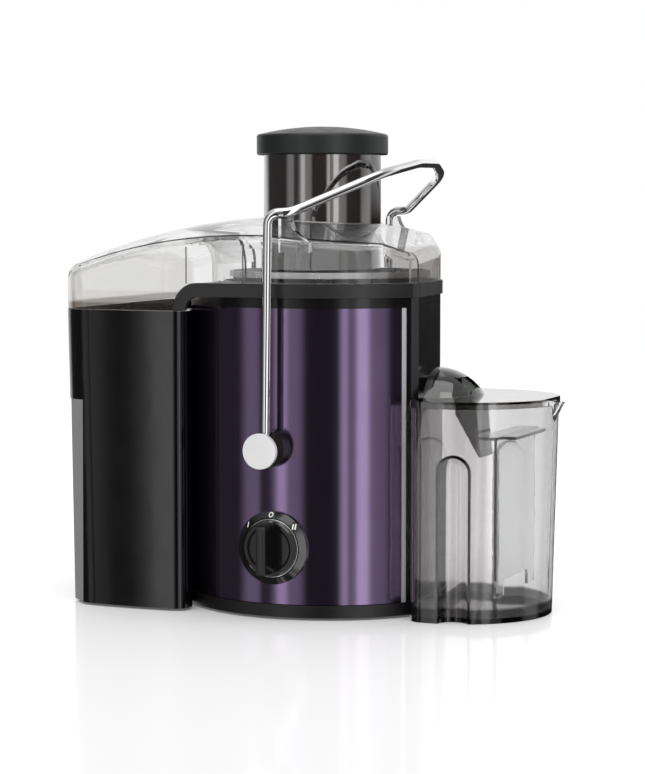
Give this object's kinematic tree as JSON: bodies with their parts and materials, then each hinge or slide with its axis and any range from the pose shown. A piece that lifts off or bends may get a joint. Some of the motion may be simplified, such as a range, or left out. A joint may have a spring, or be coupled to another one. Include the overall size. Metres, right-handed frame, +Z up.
{
  "type": "centrifugal juicer",
  "caption": "Centrifugal juicer with a round metal-fronted motor body, smoke clear lid with a wide feed tube, pulp container, wire bail and lidded jug.",
  "frame": {"origin": "middle of the machine's footprint, on the table", "axes": "+X from the pulp container to the jug, -Y the front with the knob, +Z up"},
  "size_m": [0.3348, 0.2388, 0.3237],
  "materials": {
    "housing_black": "gloss",
    "panel_metal": "metallic satin",
    "edge_silver": "satin",
    "trim_black": "matte",
    "grey_plastic": "satin",
    "rubber": "matte",
    "steel": "satin",
    "shaft_steel": "ground",
    "copper": "enamelled",
    "laminations": "matte",
    "brush_carbon": "matte",
    "white_plastic": "matte",
    "smoke_clear": "gloss",
    "smoke_tube": "gloss",
    "cap_black": "satin",
    "chrome_wire": "polished",
    "pivot_silver": "polished",
    "pivot_black": "gloss",
    "knob_black": "gloss",
    "mark_white": "printed",
    "container_black": "satin",
    "jug_clear": "gloss",
    "jug_lid_smoke": "gloss"
  },
  "bodies": {
    "machine": {"main_housing": "housing_black", "motor_deck": "housing_black", "front_panel": "panel_metal", "edge_strip": "edge_silver", "rear_cover": "housing_black", "base_trim": "trim_black", "base_plate": "trim_black", "rubber_feet": "rubber", "base_screws": "steel", "mains_gland": "rubber", "juice_bowl": "grey_plastic", "bowl_seal": "rubber", "lower_bearing": "steel", "upper_bearing": "steel", "stator_core": "laminations", "field_coils": "copper", "motor_bracket_low": "steel", "motor_bracket_top": "steel", "motor_bolts": "steel", "rubber_mounts": "rubber", "carbon_brushes": "brush_carbon", "brush_holders": "copper", "lid": "smoke_clear", "lid_catches": "smoke_clear", "feed_tube": "smoke_tube", "pivot_bosses": "pivot_black", "interlock_switch": "trim_black", "knob_bezel": "knob_black", "rotary_switch": "trim_black", "dial_marks": "mark_white"},
    "bail": {"bail_wire": "chrome_wire", "pivot_pins": "shaft_steel", "pivot_caps": "pivot_silver", "interlock_cam": "white_plastic"},
    "dial": {"knob": "knob_black", "knob_pointer": "knob_black"},
    "pusher": {"pusher": "smoke_tube", "pusher_cap": "cap_black"},
    "spindle": {"filter_basket": "steel", "grater_disc": "steel", "drive_coupling": "grey_plastic", "motor_shaft": "shaft_steel", "armature_core": "laminations", "armature_windings": "copper", "commutator": "copper", "cooling_fan": "grey_plastic"},
    "container": {"pulp_container": "container_black"},
    "jug": {"jug": "jug_clear", "froth_separator": "jug_clear"},
    "jug_cover": {"jug_lid": "jug_lid_smoke"}
  },
  "joints": [
    {"name": "bail_swing", "type": "hinge", "parent": "machine", "child": "bail", "pos_m": [-0.0051, 0, 0.1123], "axis": [0, 1, 0], "range_deg": [0, 85]},
    {"name": "knob_turn", "type": "hinge", "parent": "machine", "child": "dial", "pos_m": [-0.0051, -0.1, 0.0471], "axis": [0, 1, 0], "range_deg": [-48, 48]},
    {"name": "pusher_lift", "type": "slide", "parent": "machine", "child": "pusher", "axis": [0, 0, 1], "range_m": [0, 0.2]},
    {"name": "spindle_spin", "type": "hinge", "parent": "machine", "child": "spindle", "pos_m": [-0.0051, 0, 0.1], "axis": [0, 0, 1], "continuous": true},
    {"name": "container_slide", "type": "slide", "parent": "machine", "child": "container", "axis": [-1, 0, 0], "range_m": [0, 0.12]},
    {"name": "jug_slide", "type": "slide", "parent": "machine", "child": "jug", "axis": [1, 0, 0], "range_m": [0, 0.15]},
    {"name": "jug_lid_lift", "type": "slide", "parent": "jug", "child": "jug_cover", "axis": [0, 0, 1], "range_m": [0, 0.05]}
  ]
}
